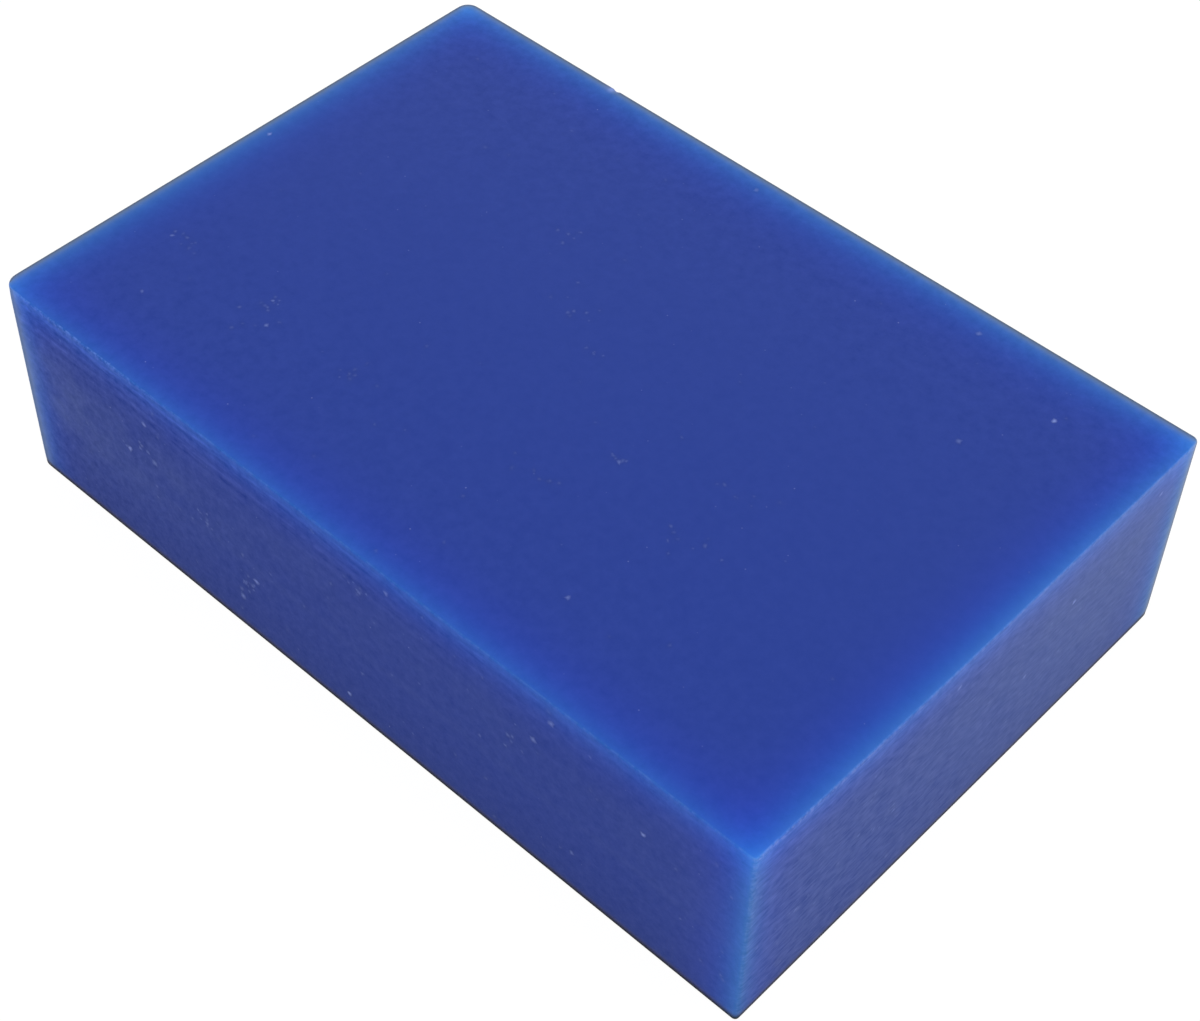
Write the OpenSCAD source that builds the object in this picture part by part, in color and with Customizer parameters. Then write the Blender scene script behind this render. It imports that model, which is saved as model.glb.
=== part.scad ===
// Carving wax block
//
// One solid piece of hard carving wax: cast as a slab, then sawn to length and lightly smoothed.
// X runs along the block from its cast end to its sawn end, Y runs across it and Z is up.
// It lies on its base, with the origin at the middle of the base.

/* [Block] */
// Length
block_l = 139; // [60:0.5:300]
// Width
block_w = 92.5; // [40:0.5:200]
// Height
block_h = 36.5; // [15:0.5:100]

/* [Upright corners] */
// Radius of the two corners at the cast end
cast_corner_r = 2.2; // [1:0.1:7]
// Radius of the front corner at the sawn end
sawn_front_r = 0.7; // [0.6:0.1:7]
// Radius of the back corner at the sawn end
sawn_back_r = 1.1; // [0.6:0.1:7]

/* [Level edges] */
// Radius of the edge all round the top
top_edge_r = 0.3; // [0.1:0.1:0.5]
// Radius of the edge all round the base
base_edge_r = 0.5; // [0.1:0.1:0.5]

/* [Sawn end] */
// How far the top of the sawn end bulges out between its corners; its foot is straight
end_bulge = 0.3; // [0.1:0.05:1]

/* [Nick] */
// Distance of the nick in the back top edge from the cast end
nick_x = 32.5; // [5:0.5:55]
// Length of the nick along the edge
nick_l = 1.4; // [0.8:0.1:5]
// Depth of the nick below the rounded edge
nick_d = 0.25; // [0.1:0.05:1]

/* [Hidden] */
// Facets on the round edges and corners
$fn = 64;
// Facets on the bulge's very large cylinder
bulge_fn = 3600;

end_x = block_l / 2;
side_y = block_w / 2;

// Radius of an arc from its chord and its height
function arc_r(chord, rise) = (chord * chord / 4 + rise * rise) / (2 * rise);

// Upright section of the block, w wide, with its top and base edges rounded
module edge_section(w) {
    foot_w = w - 2 * base_edge_r;
    head_w = w - 2 * top_edge_r;
    translate([-foot_w / 2, 0])
        square([foot_w, block_h / 2]);
    translate([-head_w / 2, block_h / 2])
        square([head_w, block_h / 2]);
    translate([-w / 2, base_edge_r])
        square([w, block_h - base_edge_r - top_edge_r]);
    for (side = [-1, 1]) {
        translate([side * foot_w / 2, base_edge_r])
            circle(r = base_edge_r);
        translate([side * head_w / 2, block_h - top_edge_r])
            circle(r = top_edge_r);
    }
}

// Round post that fills one upright corner, with the same edges turned round it
module corner_post(r) {
    rotate_extrude()
        intersection() {
            edge_section(2 * r);
            square([r, block_h]);
        }
}

// The slab with every edge and corner rounded
module rounded_slab() {
    // A bar along each side, reaching past the middle, from its cast corner to its sawn one
    for (side = [[-1, sawn_front_r], [1, sawn_back_r]])
        translate([cast_corner_r - end_x, 0, 0])
            rotate([90, 0, 90])
                linear_extrude(block_l - cast_corner_r - side[1])
                    intersection() {
                        edge_section(block_w);
                        translate([side[0] > 0 ? -side_y / 2 : -side_y, 0])
                            square([1.5 * side_y, block_h]);
                    }
    // Each end, between its front and back corner posts
    for (end = [[-1, cast_corner_r, cast_corner_r], [1, sawn_front_r, sawn_back_r]]) {
        front_r = end[1];
        back_r = end[2];
        translate([0, side_y - back_r, 0])
            rotate([90, 0, 0])
                linear_extrude(block_w - front_r - back_r)
                    intersection() {
                        edge_section(block_l);
                        translate([end[0] > 0 ? 0 : -end_x, 0])
                            square([end_x, block_h]);
                    }
        for (post = [[-1, front_r], [1, back_r]])
            translate([end[0] * (end_x - post[1]), post[0] * (side_y - post[1]), 0])
                corner_post(post[1]);
    }
}

// Very large leaning cylinder. Its wall gives the sawn end its bulge at the top and clears the foot.
module bulge_envelope() {
    r = arc_r(block_w, end_bulge);
    lean = atan(end_bulge / block_h);
    translate([end_x, 0, block_h])
        rotate([0, -lean, 0])
            translate([-r, 0, -2 * block_h])
                cylinder(r = r, h = 3 * block_h, $fn = bulge_fn);
}

// Ball that scoops the nick out of the edge, sunk on the slope midway between back and top
module nick_ball() {
    r = arc_r(nick_l, nick_d);
    lost_to_round = (sqrt(2) - 1) * top_edge_r;
    translate([nick_x - end_x, side_y, block_h])
        rotate([-45, 0, 0])
            translate([0, 0, r - nick_d - lost_to_round])
                sphere(r = r);
}

module wax_block() {
    color([0.17, 0.25, 0.62])
        difference() {
            intersection() {
                rounded_slab();
                bulge_envelope();
            }
            nick_ball();
        }
}

wax_block();
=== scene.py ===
import math
import random

import bpy
import numpy as np
from mathutils import Matrix, Vector, noise


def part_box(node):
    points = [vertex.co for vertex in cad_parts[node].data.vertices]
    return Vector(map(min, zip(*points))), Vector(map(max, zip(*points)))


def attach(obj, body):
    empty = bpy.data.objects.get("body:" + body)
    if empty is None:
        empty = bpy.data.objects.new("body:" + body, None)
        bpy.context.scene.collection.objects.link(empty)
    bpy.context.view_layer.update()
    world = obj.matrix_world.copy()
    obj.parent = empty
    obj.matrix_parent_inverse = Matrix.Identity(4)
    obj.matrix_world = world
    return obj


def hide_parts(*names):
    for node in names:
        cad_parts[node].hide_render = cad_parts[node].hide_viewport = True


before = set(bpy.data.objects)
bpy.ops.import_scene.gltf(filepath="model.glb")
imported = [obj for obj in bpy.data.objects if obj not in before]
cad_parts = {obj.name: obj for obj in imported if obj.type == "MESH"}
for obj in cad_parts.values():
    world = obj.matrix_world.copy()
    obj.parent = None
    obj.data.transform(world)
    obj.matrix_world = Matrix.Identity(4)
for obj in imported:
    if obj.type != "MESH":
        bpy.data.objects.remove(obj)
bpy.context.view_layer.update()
blockLow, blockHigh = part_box("wax_block")
mm = 0.001

halfLength = (blockHigh.x - blockLow.x) / 2 / mm
halfWidth = (blockHigh.y - blockLow.y) / 2 / mm
height = (blockHigh.z - blockLow.z) / mm
print(f"frame loaded: block {2 * halfLength:.1f} x {2 * halfWidth:.1f} x {height:.1f} mm")

cameraLook = {
    "azimuth": 41.14,  # degrees round from the front
    "elevation": 48.27,
    "roll": 2.23,
    "lens": 70.23,
    "distance": 302.6,  # mm from the aimed point
    "aim": (20.0, -19.27),  # mm from the middle of the top
}


def makeCamera(look):
    turn = math.radians(look["azimuth"])
    lift = math.radians(look["elevation"])
    roll = math.radians(look["roll"])
    back = Vector((math.sin(turn) * math.cos(lift), -math.cos(turn) * math.cos(lift), math.sin(lift)))
    level = Vector((math.cos(turn), math.sin(turn), 0))
    upright = back.cross(level)
    right = level * math.cos(roll) + upright * math.sin(roll)
    up = back.cross(right)
    aim = Vector((look["aim"][0], look["aim"][1], height)) * mm
    data = bpy.data.cameras.new("benchCamera")
    data.lens = look["lens"]
    data.sensor_width = 36
    data.clip_start = 0.01
    data.clip_end = 100
    camera = bpy.data.objects.new("benchCamera", data)
    camera.matrix_world = Matrix((right, up, back)).transposed().to_4x4()
    camera.location = aim + back * look["distance"] * mm
    bpy.context.scene.collection.objects.link(camera)
    bpy.context.scene.camera = camera


makeCamera(cameraLook)
print("camera placed")


class Link:
    # an output of a shader node; sums and products of links add Math nodes to its tree
    def __init__(self, tree, socket=None):
        self.tree = tree
        self.socket = socket

    def node(self, kind, settings=None, inputs=None, output=0):
        made = self.tree.nodes.new("ShaderNode" + kind)
        for name, value in (settings or {}).items():
            setattr(made, name, value)
        for name, value in (inputs or {}).items():
            if isinstance(value, Link):
                self.tree.links.new(value.socket, made.inputs[name])
            else:
                made.inputs[name].default_value = value
        if made.outputs:
            return Link(self.tree, made.outputs[output])

    def other(self, name):
        return Link(self.tree, self.socket.node.outputs[name])

    def math(self, operation, *values):
        return self.node("Math", {"operation": operation}, dict(enumerate(values)))

    def __add__(self, other):
        return self.math("ADD", self, other)

    def __sub__(self, other):
        return self.math("SUBTRACT", self, other)

    def __rsub__(self, other):
        return self.math("SUBTRACT", other, self)

    def __mul__(self, other):
        return self.math("MULTIPLY", self, other)

    def __truediv__(self, other):
        return self.math("DIVIDE", self, other)

    def __pow__(self, other):
        return self.math("POWER", self, other)

    def __neg__(self):
        return self.math("MULTIPLY", self, -1)

    __radd__ = __add__
    __rmul__ = __mul__

    def exp(self):
        return self.math("EXPONENT", self)

    def atLeast(self, other):
        return self.math("MAXIMUM", self, other)

    def atMost(self, other):
        return self.math("MINIMUM", self, other)

    def rise(self, low, high):
        # 0 up to low, 1 from high on, and smooth between them
        return self.node("MapRange", {"interpolation_type": "SMOOTHSTEP"}, {0: self, 1: low, 2: high})


def mixColour(amount, first, second, blend="MIX"):
    settings = {"data_type": "RGBA", "blend_type": blend}
    maker = next(v for v in (amount, first, second) if isinstance(v, Link))
    return maker.node("Mix", settings, {0: amount, 6: first, 7: second}, output=2)


def softBand(across, width):
    # 1 at 0, fading to nothing on both sides
    return (-((across / width) ** 2)).exp()


def newMaterial(name):
    material = bpy.data.materials.new(name)
    material.use_nodes = True
    material.node_tree.nodes.clear()
    return material, Link(material.node_tree)


def closeMaterial(start, surface):
    start.node("OutputMaterial", None, {"Surface": surface})


blockForm = {  # mm
    "castCorner": 2.2,
    "sawnFrontCorner": 0.7,
    "sawnBackCorner": 1.1,
    "topEdge": 0.3,
    "baseEdge": 0.5,
    "endBulge": 0.3,
    "bulgeReach": 8,  # along from the sawn end, where the bulge has died away
    "nickFromCastEnd": 32.5,
    "nickLength": 1.4,
    "nickDepth": 0.25,
    "skin": 0.015,  # how far the surface lies inside the nominal size
    "wave": (23, 0.02),  # size and depth of the skin's waviness
    "ripple": (4, 0.008),
    "wornSpots": (  # corners, as shares of the half length, half width and height; how deep and how far
        (-1, -1, 1, 0.15, 1.6),
        (1, 1, 0, 0.12, 1.4),
        (-1, -1, 0, 0.10, 1.4),
    ),
    "edgeGap": 0.06,  # between the mesh's lines beside an edge
    "gapGrowth": 1.35,  # from one gap to the next, away from the edge
    "flatGap": (1.2, 1.05, 0.4),  # the widest along x, y and z
    "nickGap": 0.12,
}


def spacedLines(low, high, widest, form):
    # close together at both ends and wider apart between them
    gap = form["edgeGap"]
    near = [0.0]
    while gap < widest:
        near.append(near[-1] + gap)
        if near[-1] >= form["topEdge"]:
            gap *= form["gapGrowth"]
    near = np.array(near)
    count = math.ceil((high - low - 2 * near[-1]) / widest)
    between = np.linspace(low + near[-1], high - near[-1], count + 1)[1:-1]
    return np.concatenate([low + near, between, (high - near)[::-1]])


def boxSurface(lines):
    # the six sides of a box as quads over the given lines, welded along its edges
    points = []
    quads = []
    start = 0
    for axis in range(3):
        for end in (0, -1):
            a, b = (axis + 1) % 3, (axis + 2) % 3
            if end == 0:
                a, b = b, a
            us, vs = np.meshgrid(lines[a], lines[b], indexing="ij")
            sheet = np.empty(us.shape + (3,))
            sheet[..., a] = us
            sheet[..., b] = vs
            sheet[..., axis] = lines[axis][end]
            numbers = start + np.arange(us.size).reshape(us.shape)
            corners = (numbers[:-1, :-1], numbers[1:, :-1], numbers[1:, 1:], numbers[:-1, 1:])
            quads.append(np.stack(corners, -1).reshape(-1, 4))
            points.append(sheet.reshape(-1, 3))
            start += us.size
    points = np.concatenate(points)
    quads = np.concatenate(quads)
    _, first, welded = np.unique(np.round(points, 5), axis=0, return_index=True, return_inverse=True)
    return points[first], welded.reshape(-1)[quads]


def roundOff(points, form):
    # bends the box round its upright corners and its level edges; gives the places and outward directions
    x, y, z = points.T
    toOutline = np.minimum(halfLength - abs(x), halfWidth - abs(y))
    toCap = np.minimum(z, height - z)
    isHigh = z > height / 2
    edge = np.where(isHigh, form["topEdge"], form["baseEdge"])
    onCap = toCap < 1e-6
    share = np.where(onCap, 1 - toOutline / edge, 1 + toCap / edge)
    lean = np.clip(share, 0, 2) * np.pi / 4
    inward = edge * (1 - np.sin(lean)) + np.maximum(np.where(onCap, toOutline, 0) - edge, 0)
    down = edge * (1 - np.cos(lean)) + np.maximum(toCap - edge, 0)
    sawnCorner = np.where(y < 0, form["sawnFrontCorner"], form["sawnBackCorner"])
    corner = np.where(x < 0, form["castCorner"], sawnCorner)
    limits = np.stack([halfLength - corner, halfWidth - corner], -1)
    plan = points[:, :2]
    centre = np.clip(plan, -limits, limits)
    offset = plan - centre
    reach = np.linalg.norm(offset, axis=1)[:, None]
    outward = np.where(reach > 1e-9, offset / np.maximum(reach, 1e-9), 0)
    placed = np.where(reach > 1e-9, centre + outward * (corner - inward)[:, None], plan)
    newZ = np.where(isHigh, height - down, down)
    upward = np.where(isHigh, 1, -1) * np.cos(lean)
    directions = np.concatenate([outward * np.sin(lean)[:, None], upward[:, None]], 1)
    return np.concatenate([placed, newZ[:, None]], 1), directions


def bulgeEnd(points, form):
    # the top of the sawn end bulges out between its corners, so its corners stand back
    x, y, z = points.T
    back = form["endBulge"] * ((y / halfWidth) ** 2 - (1 - z / height))
    near = np.clip((x - halfLength) / form["bulgeReach"] + 1, 0, 1)
    points[:, 0] -= np.maximum(back, 0) * near * near * (3 - 2 * near)


def smoothNoise(points, size, seed):
    shift = Vector((seed * 17.3, seed * 7.1, seed * 3.7))
    return np.array([noise.noise(Vector(p) / size + shift) for p in points])


def relief(points, directions, form):
    # how deep the real surface lies below the nominal one
    depth = form["skin"]
    for seed, (size, deep) in enumerate((form["wave"], form["ripple"]), 1):
        depth = depth + deep * (0.5 + 0.5 * smoothNoise(points, size, seed))
    for x, y, z, wear, reach in form["wornSpots"]:
        away = np.linalg.norm(points - np.array([x * halfLength, y * halfWidth, z * height]), axis=1)
        depth += wear * np.exp(-((away / reach) ** 2))
    return depth * (1 - np.clip(-directions[:, 2], 0, 1))


def scoopNick(points, form):
    # a small ball's worth is gone from the back top edge
    radius = (form["nickLength"] ** 2 / 4 + form["nickDepth"] ** 2) / (2 * form["nickDepth"])
    rise = (radius - form["nickDepth"] - (math.sqrt(2) - 1) * form["topEdge"]) / math.sqrt(2)
    centre = np.array([form["nickFromCastEnd"] - halfLength, halfWidth + rise, height + rise])
    away = points - centre
    far = np.linalg.norm(away, axis=1)
    inside = far < radius
    points[inside] = centre + away[inside] * (radius / far[inside])[:, None]


def pieceFromMesh(name, points, faces, material):
    mesh = bpy.data.meshes.new(name)
    mesh.from_pydata((points * mm).tolist(), [], faces.tolist())
    mesh.polygons.foreach_set("use_smooth", [True] * len(mesh.polygons))
    mesh.materials.append(material)
    mesh.update()
    mesh.validate()
    piece = bpy.data.objects.new(name, mesh)
    bpy.context.scene.collection.objects.link(piece)
    return piece


def makeBlock(form, material):
    nickX = form["nickFromCastEnd"] - halfLength
    nickReach = form["nickLength"] * 0.9  # a little past both its ends
    nickLines = np.arange(nickX - nickReach, nickX + nickReach, form["nickGap"])
    alongX = spacedLines(-halfLength, halfLength, form["flatGap"][0], form)
    alongX = alongX[np.abs(alongX - nickX) > nickReach + form["nickGap"]]
    lines = [
        np.sort(np.concatenate([alongX, nickLines])),
        spacedLines(-halfWidth, halfWidth, form["flatGap"][1], form),
        spacedLines(0, height, form["flatGap"][2], form),
    ]
    points, quads = boxSurface(lines)
    points, directions = roundOff(points, form)
    bulgeEnd(points, form)
    points -= directions * relief(points, directions, form)[:, None]
    scoopNick(points, form)
    print(f"block mesh: {len(points)} points, {2 * len(quads)} triangles")
    return pieceFromMesh("waxBlockBody", points, quads, material)


class Skin:
    # where a point of the skin lies, in mm, and how squarely it faces each way
    def __init__(self, start):
        coordinates = start.node("TexCoord", output="Object")
        self.place = start.node("VectorMath", {"operation": "SCALE"}, {0: coordinates, "Scale": 1 / mm})
        self.x = start.node("SeparateXYZ", None, {0: self.place})
        self.y = self.x.other("Y")
        self.z = self.x.other("Z")
        nx = start.node("SeparateXYZ", None, {0: coordinates.other("Normal")})
        ny = nx.other("Y")
        nz = nx.other("Z")
        self.inside = {
            "castEnd": self.x + halfLength,
            "sawnEnd": halfLength - self.x,
            "front": self.y + halfWidth,
            "back": halfWidth - self.y,
            "top": height - self.z,
            "base": self.z,
        }
        outward = {"castEnd": -nx, "sawnEnd": nx, "front": -ny, "back": ny, "top": nz, "base": -nz}
        self.facing = {name: across.atLeast(0) ** 2 for name, across in outward.items()}
        self.sides = self.facing["front"] + self.facing["back"]
        self.ends = self.facing["castEnd"] + self.facing["sawnEnd"]
        self.upright = self.sides + self.ends
        # these products are 1 in the middle of a rounded edge and 0 on the flats
        near = self.facing["top"] * (self.facing["front"] + self.facing["sawnEnd"]) * 4
        far = self.facing["top"] * (self.facing["back"] + self.facing["castEnd"]) * 4
        between = self.sides * self.ends * 4
        lower = self.facing["top"].rise(0.5, 0.3)  # the lower half of the rounding
        edges = near.rise(0.2, 0.9).atLeast(between.rise(0.75, 1.0))
        self.nearEdge = edges.atLeast(far.rise(0.2, 0.9) * lower)
        self.farEdge = far.rise(0.2, 0.9) * (1 - lower)


glow = {  # light that comes in through the neighbouring faces
    "falloff": (1.5, 1.15, 1.3),
    "backLess": 0.5,  # how much less of it shows on the back
    "faces": {  # strength, reach in mm and how much stronger on upright faces, for red, green and blue
        "sawnEnd": ((0.018, 0.108, 0.235), (1.0, 2.1, 4.6), (1.3, 1.35, 1.3)),
        "castEnd": ((0.022, 0.140, 0.225), (1.6, 2.5, 4.4), (2.15, 2.1, 2.2)),
        "back": ((0.022, 0.142, 0.240), (1.6, 2.5, 4.6), (1.3, 1.5, 1.2)),
        "front": ((0.003, 0.059, 0.183), (1.0, 2.0, 4.8), (1.3, 1.7, 1.0)),
        "top": ((0.003, 0.057, 0.215), (1.0, 2.3, 3.9), (1.3, 1.25, 1.25)),
    },
}


def glowColour(skin, glow):
    channels = []
    shown = 1 - skin.facing["back"] * glow["backLess"]
    for channel, falloff in enumerate(glow["falloff"]):
        total = 0
        for name, (strength, reach, gain) in glow["faces"].items():
            far = (skin.inside[name].atLeast(0) / reach[channel]) ** falloff
            much = (1 + skin.upright * (gain[channel] - 1)) * strength[channel]
            total = total + (-far).exp() * (1 - skin.facing[name]) * much
        channels.append(total * shown)
    return skin.x.node("CombineColor", None, dict(enumerate(channels)))


hazeAndSheen = {  # a pale bloom on the skin and a painted sheen, as shares of its colour; the sheen's rise towards the back is painted reflection and its fade towards the foot painted shade
    "colour": (0.80, 1.0, 1.0, 1),
    "top": 0.001,
    "topBack": 0.003,  # so much more towards the back, a painted sheen
    "sides": 0.006,
    "sidesFoot": (12, 28),  # mm down from the top, where it fades away, as painted shade on the sheen
    "sidesSawn": 0.012,  # so much more by the sawn end
    "sawnReach": 12,
    "ends": 0.046,
    "endsFoot": 0.37,  # how much of it is gone at the foot, as painted shade
    "endBack": 0.050,  # so much more towards the back of the ends, a painted sheen
    "endBackFoot": 0.45,
    "cloud": 0.030,  # a cloudy patch on the sides by the cast end
    "cloudSize": (28, 9),  # mm along and up
    "cloudHeight": 18.5,
    "seam": (15.8, 0.8, 0.006),  # a faint line along the sides: mm up, half width and strength
    "drift": 0.13,  # how fine its unevenness is, per mm
    "patches": (5.0, 1.5),  # contrast of that on the sides, and how much of it is taken off
    "endPatches": (0.5, 0.75),  # contrast on the ends, and what they keep everywhere
}


def hazeAndSheenShare(skin, hazeAndSheen):
    # paints a sheen that grows towards the back and fades towards the foot, over the bloom
    sheenTowardsBack = skin.y.rise(-halfWidth * 0.6, halfWidth * 0.9)
    drift = skin.x.node("TexNoise", None, {"Vector": skin.place, "Scale": hazeAndSheen["drift"], "Detail": 3.0})
    down = skin.inside["top"] / height
    contrast, taken = hazeAndSheen["patches"]
    patches = (drift * contrast - taken).atLeast(0)
    cloud = softBand(skin.inside["castEnd"], hazeAndSheen["cloudSize"][0])
    cloud = cloud * softBand(skin.z - hazeAndSheen["cloudHeight"], hazeAndSheen["cloudSize"][1]) * hazeAndSheen["cloud"]
    plain = (1 - skin.inside["top"].rise(*hazeAndSheen["sidesFoot"])) * hazeAndSheen["sides"]
    sawn = softBand(skin.inside["sawnEnd"], hazeAndSheen["sawnReach"]) * hazeAndSheen["sidesSawn"]
    ends = (1 - down * hazeAndSheen["endsFoot"]) * hazeAndSheen["ends"]
    endBack = (1 - down * hazeAndSheen["endBackFoot"]) * sheenTowardsBack * hazeAndSheen["endBack"]
    share = skin.facing["top"] * (hazeAndSheen["top"] + sheenTowardsBack * hazeAndSheen["topBack"])
    seam = softBand(skin.z - hazeAndSheen["seam"][0], hazeAndSheen["seam"][1]) * hazeAndSheen["seam"][2]
    share = share + skin.sides * ((plain + cloud) * patches + sawn + seam)
    contrast, kept = hazeAndSheen["endPatches"]
    return share + skin.ends * (ends + endBack) * (drift * contrast + kept)


grain = {  # brighter and darker by these shares
    "scale": 0.65,  # per mm
    "roughness": 0.72,
    "strength": 0.8,
    "faces": {"top": 0.14, "base": 0.4, "front": 0.42, "back": 0.42, "sawnEnd": 0.22, "castEnd": 0.30},
    "castGain": 0.9,  # so much stronger by the cast end
    "castReach": 45,
    "topBack": 2.2,  # and on the top towards its back and its front
    "topFront": 1.0,
    "topReach": 24,
    "comb": {"sides": 0.20, "ends": 0.42},  # long scratches: how strong
    "combScale": (0.22, 0.50, 2.1),  # per mm along, across and up
    "combDepth": 9,  # mm down from the top that the sides have them
    "combFar": 0.3,  # what the sides keep of them away from the cast end
    "combBack": 0.3,  # what the ends lose of them towards the back
    "slope": 5.0,  # degrees that the saw's scratches rise on the ends
    "bleach": {"top": 0.06, "sides": 0.13, "ends": 0.24},  # and paler and greyer by this much of it all
}

sawLines = {  # lighter and darker lines along the sides: mm from the top, half width, strength
    "lines": (
        (0.6, 0.30, -0.4),
        (1.55, 0.38, 1.1),
        (2.4, 0.40, -0.8),
        (4.0, 0.35, -0.5),
        (4.9, 0.40, 0.9),
        (6.1, 0.45, -0.75),
        (7.2, 0.45, 0.5),
        (8.5, 0.40, -0.35),
        (11.2, 0.50, 0.4),
    ),
    "strength": 0.16,
    "start": (1, 8),  # mm from the cast end, where they begin and are whole
    "reach": 95,  # and how far along they go
    "waver": (0.11, 0.8),  # how they wander: per mm and in mm
    "dashScale": (0.3, 0.3, 1.1),  # per mm along, across and up
    "dashes": (0.35, 0.62),  # where the lines are broken off and where whole
}


def grainShade(skin, grain, lines):
    # fine mottling on every face and the saw's lines on the sides and ends, around 0
    fine = {"Vector": skin.place, "Scale": grain["scale"], "Detail": 3.0, "Roughness": grain["roughness"]}
    mottle = skin.x.node("TexNoise", None, fine) - 0.5
    nearCast = softBand(skin.inside["castEnd"], grain["castReach"])
    topRim = softBand(skin.inside["back"], grain["topReach"]) * grain["topBack"]
    topRim = topRim + softBand(skin.inside["front"], grain["topReach"]) * grain["topFront"]
    weight = sum(skin.facing[name] * share for name, share in grain["faces"].items())
    weight = weight * (1 + nearCast * grain["castGain"] + topRim * skin.facing["top"])
    slope = (math.radians(-grain["slope"]), 0, 0)
    turned = {"Vector": skin.place, "Rotation": slope, "Scale": grain["combScale"]}
    turned = skin.x.node("Mapping", None, turned)
    combed = skin.x.node("TexNoise", None, {"Vector": turned, "Scale": 1.0, "Detail": 1.5}) - 0.5
    wander, wide = lines["waver"]
    waver = skin.x.node("TexNoise", None, {"Vector": skin.place, "Scale": wander, "Detail": 1.0}) - 0.5
    depth = skin.inside["top"] + waver * wide
    dashed = skin.x.node("VectorMath", {"operation": "MULTIPLY"}, {0: skin.place, 1: lines["dashScale"]})
    broken = skin.x.node("TexNoise", None, {"Vector": dashed, "Scale": 1.0, "Detail": 2.0})
    total = sum(softBand(depth - low, width) * strength for low, width, strength in lines["lines"])
    along = softBand(skin.inside["castEnd"], lines["reach"]) * skin.sides
    shown = along * skin.inside["castEnd"].rise(*lines["start"])
    sides = (along + grain["combFar"]) * softBand(skin.inside["top"], grain["combDepth"])
    sides = sides * skin.sides * grain["comb"]["sides"]
    ends = skin.facing["sawnEnd"] * (1 - skin.y.rise(-halfWidth, halfWidth) * grain["combBack"])
    lined = total * shown * broken.rise(*lines["dashes"]) * lines["strength"]
    return mottle * weight * grain["strength"] + combed * (sides + ends * grain["comb"]["ends"]) + lined


def grainColour(skin, grain, lines, colour):
    shade = grainShade(skin, grain, lines)
    bleach = grain["bleach"]
    paler = skin.facing["top"] * bleach["top"] + skin.sides * bleach["sides"] + skin.ends * bleach["ends"]
    brighter = {0: colour, 1: shade + 1, 2: shade * paler}
    return skin.x.node("VectorMath", {"operation": "MULTIPLY_ADD"}, brighter)


rim = {  # greyer beside the far edges, a painted reflection: share and reach in mm
    "top": (0.64, 0.95),
    "topColour": (0.24, 0.26, 0.23, 1),
    "sides": (1.0, 2.45),
    "sidesMost": 0.38,  # the share down the sides goes no higher
    "sidesColour": (0.35, 0.38, 0.47, 1),
    "ends": (0.85, 1.55),
    "endsColour": (0.39, 0.37, 0.33, 1),
    "lineColour": (0.045, 0.065, 0.10, 1),  # and a dark line of painted shade on the far edges of the top
    "lineShare": 1.0,
    "lineReach": 0.47,
    "sidesLine": (0.38, 1.8, 2.8),  # a fainter painted shade line down the far corners: share, and mm in where it fades
    "endsLine": (0.38, 0.95, 1.4),
}


def cornerDepth(first, second, radius):
    # mm in from the outline of two faces that meet in a round corner
    pastFirst = (radius - first).atLeast(0)
    pastSecond = (radius - second).atLeast(0)
    rounded = radius - (pastFirst * pastFirst + pastSecond * pastSecond) ** 0.5
    return rounded + (first.atMost(second) - radius).atLeast(0)


def topDepth(skin, form):
    # mm in from the far edges of the top, and on round the corners at their two ends
    inside = skin.inside
    depth = cornerDepth(inside["castEnd"], inside["back"], form["castCorner"])
    corners = (("castEnd", "front", form["castCorner"]), ("back", "sawnEnd", form["sawnBackCorner"]))
    for far, near, radius in corners:
        # pushed away where the round ends, so that the near edge has none
        pushed = inside[near] + inside[far].rise(radius * 0.3, radius) * 10
        depth = depth.atMost(cornerDepth(inside[far], pushed, radius))
    return depth


def rimSheenAndShadeColour(skin, rim, colour):
    # paints a reflection as a grey band beside the far edges and shade as a dark line along them
    fromCast = skin.inside["castEnd"]
    fromBack = skin.inside["back"]
    onTop = topDepth(skin, blockForm)
    top = softBand(onTop, rim["top"][1]) * skin.facing["top"] * rim["top"][0]
    sides = softBand(fromCast, rim["sides"][1]) * rim["sides"][0]
    sides = sides.atMost(rim["sidesMost"]) * skin.facing["front"] ** 0.5
    ends = softBand(fromBack, rim["ends"][1]) * skin.facing["sawnEnd"] ** 0.5 * rim["ends"][0]
    colour = mixColour(top, colour, rim["topColour"])
    colour = mixColour(sides, colour, rim["sidesColour"])
    colour = mixColour(ends, colour, rim["endsColour"])
    shadeLine = skin.farEdge.atLeast(softBand(onTop, rim["lineReach"]) * skin.facing["top"])
    shadeLine = shadeLine * rim["lineShare"]
    share, near, gone = rim["sidesLine"]
    sides = fromCast.rise(gone, near) * skin.facing["front"].rise(0.3, 0.7) * share
    share, near, gone = rim["endsLine"]
    ends = fromBack.rise(gone, near) * skin.facing["sawnEnd"].rise(0.3, 0.7) * share
    return mixColour(shadeLine + sides + ends, colour, rim["lineColour"])


foot = {  # painted shade: the upright faces darken towards the base, with a grey band, and a dark line of painted contact shadow along it
    "colour": (0.025, 0.035, 0.05, 1),
    "share": 0.17,
    "reach": 2.2,
    "wideShare": 0.09,
    "wideReach": 10,
    "band": (0.20, 0.15, 0.10, 1),
    "bandShare": 0.14,
    "bandHeight": 1.25,
    "bandReach": 0.35,
    "shadeLine": (0.26, 0.12, 0.02, 1),  # what is left of the colour in the line
    "lineReach": 1.14,
}


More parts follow.
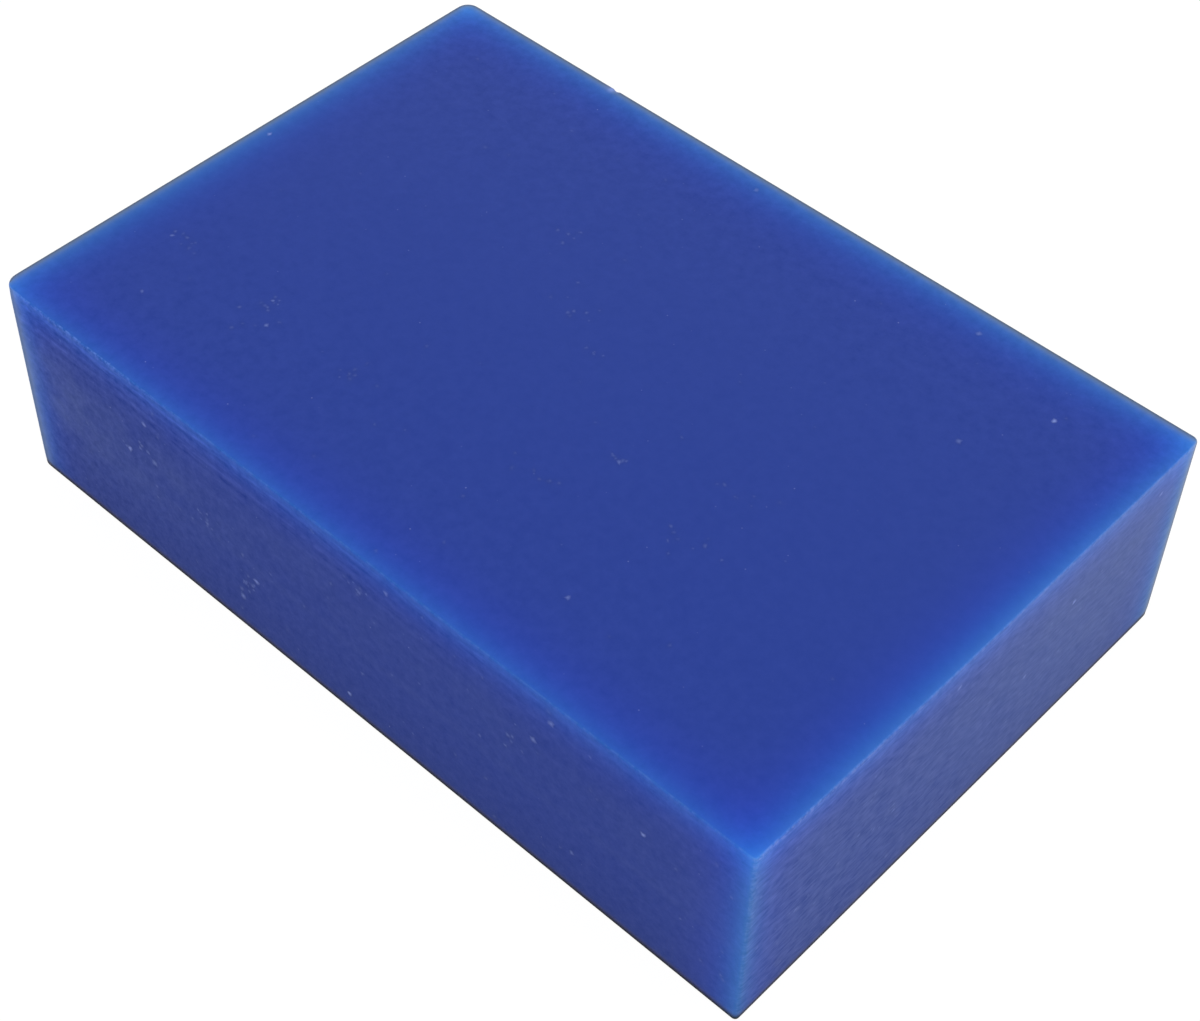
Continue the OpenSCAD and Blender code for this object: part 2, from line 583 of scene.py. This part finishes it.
def footShadeColour(skin, foot, colour):
    # paints the floor's contact shade on the lower faces and a dark shadow line at the base
    up = skin.inside["base"]
    low = softBand(up, foot["reach"]) * foot["share"]
    wide = softBand(up, foot["wideReach"]) * foot["wideShare"]
    colour = mixColour((low + wide) * skin.upright, colour, foot["colour"])
    band = softBand(up - foot["bandHeight"], foot["bandReach"]) * skin.upright * foot["bandShare"]
    colour = mixColour(band, colour, foot["band"])
    shadeLine = (-((up / foot["lineReach"]) ** 4)).exp()
    return mixColour(shadeLine, colour, foot["shadeLine"], "MULTIPLY")


edgeWearAndHighlight = {  # paler lines along the near edges: wear and painted highlight, and painted glow in bands beside them
    "colour": (0.48, 0.56, 1.0, 1),
    "ridge": 0.045,  # painted highlight with wear on the rounding itself
    "nearCast": (16, 14),  # middle and reach in mm of a stretch by the cast end where it shows more
    "castColour": (0.22, 0.38, 1.0, 1),
    "castRidge": 0.22,
    "lip": (0.45, 0.55),  # and painted glow in a band just below it: mm down and half width
    "frontLip": 0.012,
    "castLip": 0.22,
    "endLip": 0.085,
    "nearCorner": (1.2, 25),  # so much stronger by the front corner of the sawn end, and how far
    "cornerLip": (1.1, 0.10, 30),  # painted glow beside that corner: half width, strength and mm down to its end
    "flakes": 1.4,  # how fine its unevenness is, per mm
    "kept": (0.38, 0.66, 1.15),  # where the wear starts in it and is whole, and how strong it then is
    "footClear": (0.5, 1.5),  # mm up from the base, where it starts
}


def wornAndHighlightColour(skin, wear, colour):
    # paints highlight along the near edges and glow beside them, both broken up like wear
    flakes = {"Vector": skin.place, "Scale": wear["flakes"], "Detail": 2.0, "Roughness": 0.7}
    none, whole, most = wear["kept"]
    kept = skin.x.node("TexNoise", None, flakes).rise(none, whole)
    kept = kept * skin.inside["base"].rise(*wear["footClear"]) * most
    low, width = wear["lip"]
    lip = softBand(skin.inside["top"] - low, width)
    lips = skin.facing["front"] * wear["frontLip"] + skin.facing["sawnEnd"] * wear["endLip"]
    stronger, reach = wear["nearCorner"]
    nearCorner = 1 + softBand(skin.inside["front"], reach) * stronger
    wide, strength, depth = wear["cornerLip"]
    beside = softBand(skin.inside["front"] - low, wide) * skin.facing["sawnEnd"] * strength
    beside = beside * skin.inside["top"].rise(depth, 0)
    wornAndLit = skin.nearEdge * wear["ridge"] + lip * lips * nearCorner + beside
    colour = mixColour(wornAndLit * kept, colour, wear["colour"])
    middle, reach = wear["nearCast"]
    nearCast = softBand(skin.inside["castEnd"] - middle, reach)
    wornAndLit = skin.nearEdge * wear["castRidge"] + lip * skin.facing["front"] * wear["castLip"]
    return mixColour(wornAndLit * nearCast * kept, colour, wear["castColour"])


dust = {  # faint motes all over
    "perMm": 0.42,
    "size": 0.16,  # mm
    "colour": (0.40, 0.47, 0.78, 1),
    "strength": 0.35,
}


def dustColour(skin, dust, colour):
    dots = skin.x.node("TexVoronoi", None, {"Vector": skin.place, "Scale": dust["perMm"]})
    luck = skin.x.node("SeparateColor", None, {0: dots.other("Color")})
    size = dust["size"] * dust["perMm"]
    dusty = dots.rise(size, size * 0.3) * luck ** 3 * dust["strength"]
    return mixColour(dusty, colour, dust["colour"])


waxFinish = {
    "body": (0.0215, 0.052, 0.318, 1),
    "endsTint": (0.97, 1.0, 0.975, 1),
    "bruised": (0.33, 0.44, 1.0, 1),  # specks, crumbs and the nick
    "topRoughness": 0.38,
    "sawnRoughness": 0.62,
    "specular": 0.14,
    "ior": 1.44,
    "subsurface": 0.15,
    "scatter": (0.3, 0.5, 1.0),  # how far red, green and blue spread, as shares of the depth
    "scatterDepth": 4.0,  # mm
    "bumpScale": 2.5,  # per mm
    "bumpHeight": 0.012,  # mm
}


def makeWax(finish):
    # the body's colour and then each layer over it
    material, start = newMaterial("carvingWax")
    skin = Skin(start)
    colour = mixColour(1.0, finish["body"], glowColour(skin, glow), "ADD")
    colour = mixColour(skin.ends, colour, finish["endsTint"], "MULTIPLY")
    colour = grainColour(skin, grain, sawLines, colour)
    colour = mixColour(hazeAndSheenShare(skin, hazeAndSheen), colour, hazeAndSheen["colour"])
    colour = rimSheenAndShadeColour(skin, rim, colour)
    colour = footShadeColour(skin, foot, colour)
    colour = wornAndHighlightColour(skin, edgeWearAndHighlight, colour)
    colour = dustColour(skin, dust, colour)
    pale = start.node("Attribute", {"attribute_name": "pale"}, output="Fac")
    colour = mixColour(pale, colour, finish["bruised"])
    rough = finish["topRoughness"] + skin.upright * (finish["sawnRoughness"] - finish["topRoughness"])
    fine = {"Vector": skin.place, "Scale": finish["bumpScale"], "Detail": 3.0}
    raised = start.node("TexNoise", None, fine) * (0.5 + skin.upright) * finish["bumpHeight"]
    rippled = start.node("Bump", None, {"Strength": 1.0, "Distance": mm, "Height": raised})
    surface = start.node(
        "BsdfPrincipled",
        {"subsurface_method": "RANDOM_WALK"},
        {
            "Base Color": colour,
            "Roughness": rough,
            "Normal": rippled,
            "IOR": finish["ior"],
            "Specular IOR Level": finish["specular"],
            "Subsurface Weight": finish["subsurface"],
            "Subsurface Radius": finish["scatter"],
            "Subsurface Scale": finish["scatterDepth"] * mm,
        },
    )
    closeMaterial(start, surface)
    return material


specks = {  # each: mm from the cast end or the front, mm from the back or the top, and paleness
    "top": (
        (122.5, 11, 0.75),
        (2.5, 44.5, 0.65),
        (33, 72.5, 0.38),
        (9.5, 69.5, 0.36),
        (96.5, 79, 0.33),
        (105, 4.5, 0.33),
        (30, 68.5, 0.36),
        (85.5, 57.5, 0.32),
        (115.5, 23, 0.28),
        (63, 3, 0.26),
        (15.5, 80, 0.26),
    ),
    "front": (
        (68.5, 32.5, 0.85),
        (122, 12, 0.75),
        (25, 15.5, 0.75),
        (50.5, 23.5, 0.62),
        (29.5, 7.5, 0.52),
        (47, 29.5, 0.48),
        (103.5, 10, 0.46),
        (106.5, 4, 0.45),
        (30.5, 14.5, 0.38),
        (77.5, 3.5, 0.36),
        (110.5, 28, 0.34),
    ),
    "sawnEnd": (
        (66, 11, 0.60),
        (84.5, 4.5, 0.46),
        (39.5, 4.5, 0.42),
        (57, 18.5, 0.34),
    ),
    "radius": (0.42, 0.58),  # mm, least and most
    "clusters": (  # face, centre as above, spread along and down in mm, how many
        ("top", 31.0, 69.5, 3.0, 3.2, 14),
        ("top", 12.0, 68.5, 3.6, 1.2, 8),
        ("top", 48.5, 70.5, 3.4, 1.4, 8),
        ("top", 79.5, 67.0, 2.2, 1.2, 6),
        ("top", 85.0, 57.5, 1.5, 1.2, 6),
        ("top", 100.0, 62.5, 6.0, 2.5, 9),
        ("top", 99.5, 51.0, 3.0, 0.9, 6),
        ("top", 69.0, 44.5, 1.6, 1.0, 5),
        ("top", 50.0, 30.0, 2.2, 1.5, 7),
        ("top", 60.0, 40.0, 4.0, 3.0, 8),
        ("front", 49.0, 26.0, 1.6, 2.6, 14),
        ("front", 40.5, 18.5, 1.4, 1.4, 8),
        ("front", 71.5, 7.0, 1.6, 1.6, 9),
        ("front", 27.0, 14.5, 3.5, 2.0, 9),
        ("front", 100.0, 14.0, 3.0, 2.5, 6),
        ("sawnEnd", 27.0, 19.5, 3.0, 2.0, 8),
        ("sawnEnd", 9.0, 21.5, 4.0, 1.2, 5),
    ),
    "clusterRadius": (0.24, 0.44),
    "clusterPaleness": (0.10, 0.30),
    "clusterTightness": 0.6,  # of the spread, within which two thirds of them lie
    "loose": {"top": 50, "front": 60, "sawnEnd": 50, "back": 50, "castEnd": 20},
    "looseRadius": (0.22, 0.42),
    "loosePaleness": (0.05, 0.18),
    "margin": 2,  # mm that the loose ones keep from a face's edges
    "topShare": 0.6,  # how pale clusters and loose specks are on the top
    "uprightSize": 1.3,  # how much bigger every speck is on the upright faces
    "lift": 0.008,  # mm that a speck's middle stands proud
    "sunk": 0.03,  # and that its underside lies below the skin
    "corners": 8,
    "ragged": (0.6, 1.3),  # least and most reach of a corner, as shares of the radius
    "seed": 11,
}


def onFace(face, along, down):
    places = {
        "top": (along - halfLength, halfWidth - down, height),
        "front": (along - halfLength, -halfWidth, height - down),
        "back": (along - halfLength, halfWidth, height - down),
        "sawnEnd": (halfLength, along - halfWidth, height - down),
        "castEnd": (-halfLength, along - halfWidth, height - down),
    }
    return Vector(places[face])


def scatterSpecks(specks, chance):
    # where every speck lies, its radius and its paleness: the placed ones, then clusters, then loose ones
    spots = []

    def add(face, along, down, size, pale):
        onTop = face == "top"
        wider = 1 if onTop else specks["uprightSize"]
        spots.append((onFace(face, along, down), chance.uniform(*size) * wider, pale))

    def chancePale(face, low, high):
        return chance.uniform(low, high) * (specks["topShare"] if face == "top" else 1)

    for face in ("top", "front", "sawnEnd"):
        for along, down, pale in specks[face]:
            add(face, along, down, specks["radius"], pale)
    tight = specks["clusterTightness"]
    for face, along, down, wide, high, count in specks["clusters"]:
        for _ in range(count):
            pale = chancePale(face, *specks["clusterPaleness"])
            place = chance.gauss(along, wide * tight), chance.gauss(down, high * tight)
            add(face, *place, specks["clusterRadius"], pale)
    margin = specks["margin"]
    for face, count in specks["loose"].items():
        long = 2 * (halfWidth if face.endswith("End") else halfLength)
        high = 2 * halfWidth if face == "top" else height
        for _ in range(count):
            pale = chancePale(face, *specks["loosePaleness"])
            place = chance.uniform(margin, long - margin), chance.uniform(margin, high - margin)
            add(face, *place, specks["looseRadius"], pale)
    return spots


def makeSpecks(specks, block, material):
    # each is a small flat lens with a ragged rim, seated on the block's skin and palest at its middle
    chance = random.Random(specks["seed"])
    count = specks["corners"]
    points = []
    faces = []
    paleness = []
    for spot, radius, pale in scatterSpecks(specks, chance):
        _, seat, outward, _ = block.closest_point_on_mesh(spot * mm)
        sideways = outward.orthogonal().normalized()
        across = outward.cross(sideways)
        first = len(points)
        turn = chance.uniform(0, 2 * math.pi)
        for step in range(count):
            angle = turn + 2 * math.pi * step / count
            reach = radius * chance.uniform(*specks["ragged"]) * mm
            around = seat + sideways * math.cos(angle) * reach + across * math.sin(angle) * reach
            points.append(block.closest_point_on_mesh(around)[1] / mm)
        points.append(seat / mm + outward * specks["lift"])
        points.append(seat / mm - outward * specks["sunk"])
        paleness += [0.0] * count + [pale, 0.0]
        for step in range(count):
            a = first + step
            b = first + (step + 1) % count
            faces.append((a, b, first + count))
            faces.append((b, a, first + count + 1))
    print(f"specks: {len(points) // (count + 2)}")
    piece = pieceFromMesh("waxSpecks", np.array(points), np.array(faces), material)
    piece.data.shade_flat()
    paint(piece, paleness)
    return piece


def paint(piece, paleness):
    # how pale the wax is at each point, for the material
    piece.data.attributes.new("pale", "FLOAT", "POINT").data.foreach_set("value", paleness)


nickMark = {  # where the nick is bruised, and a faint patch beside it
    "paleness": 0.95,
    "reach": 0.5,  # mm
    "patch": (-0.7, 0.5, 0.6, 0.6),  # mm along and in from the nick, reach and paleness
}


def paintNick(mark, block, form):
    points = np.array([vertex.co for vertex in block.data.vertices]) / mm
    along = points[:, 0] - (form["nickFromCastEnd"] - halfLength)
    away = np.stack([halfWidth - points[:, 1], height - points[:, 2]], -1).max(axis=1)
    inNick = mark["paleness"] * np.exp(-(along**2 + away**2) / mark["reach"] ** 2)
    aside, inward, reach, pale = mark["patch"]
    patch = pale * np.exp(-((along - aside) ** 2 + (away - inward) ** 2) / reach**2)
    paint(block, np.maximum(inNick, patch))


wax = makeWax(waxFinish)
print("wax material made")
block = makeBlock(blockForm, wax)
paintNick(nickMark, block, blockForm)
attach(block, "root")
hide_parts("wax_block")
crumbs = makeSpecks(specks, block, wax)
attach(crumbs, "root")
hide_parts("wax_block")
print("block built")


studio = {
    "floorColour": (0.8, 0.8, 0.8, 1),
    "floorGlowShare": 0.9,  # of what the camera and reflections see of the floor
    "floorGlow": 1.06,
    "floorRadius": 30.0,  # m
    "floorCorners": 96,
    "skyLight": 0.55,
}

lamps = {  # place, size and power
    "overheadLamp": ((0.15, -0.35, 1.5), 1.6, 9.0),
    "rightLamp": ((1.3, 0.5, 0.8), 0.9, 5.0),
}


def seenRays(start):
    # 1 on rays that show the background: straight, mirrored or through glass
    path = start.node("LightPath", output="Is Camera Ray")
    return path.atLeast(path.other("Is Glossy Ray")).atLeast(path.other("Is Transmission Ray"))


def makeFloor(studio):
    material, start = newMaterial("floorPaint")
    matte = start.node("BsdfDiffuse", None, {"Color": studio["floorColour"]})
    lit = start.node("Emission", None, {"Color": (1, 1, 1, 1), "Strength": studio["floorGlow"]})
    share = seenRays(start) * studio["floorGlowShare"]
    closeMaterial(start, start.node("MixShader", None, {0: share, 1: matte, 2: lit}))
    count = studio["floorCorners"]
    angles = np.arange(count) * 2 * np.pi / count
    outline = np.stack([np.cos(angles), np.sin(angles), 0 * angles], -1) * studio["floorRadius"] / mm
    floor = pieceFromMesh("studioFloor", outline, np.arange(count)[None, :], material)


def makeWorld(studio):
    world = bpy.data.worlds.new("studioSky")
    bpy.context.scene.world = world
    world.use_nodes = True
    world.node_tree.nodes.clear()
    start = Link(world.node_tree)
    strength = studio["skyLight"] + seenRays(start) * (1 - studio["skyLight"])
    sky = start.node("Background", None, {"Color": (1, 1, 1, 1), "Strength": strength})
    start.node("OutputWorld", None, {"Surface": sky})


def makeLamp(name, place, size, power):
    data = bpy.data.lights.new(name, "AREA")
    data.size = size
    data.energy = power
    lamp = bpy.data.objects.new(name, data)
    lamp.location = place
    lamp.rotation_euler = (-Vector(place)).to_track_quat("-Z", "Y").to_euler()
    bpy.context.scene.collection.objects.link(lamp)


makeFloor(studio)
makeWorld(studio)
for name, (place, size, power) in lamps.items():
    makeLamp(name, place, size, power)
bpy.context.scene.view_settings.view_transform = "Standard"
print("studio set up")
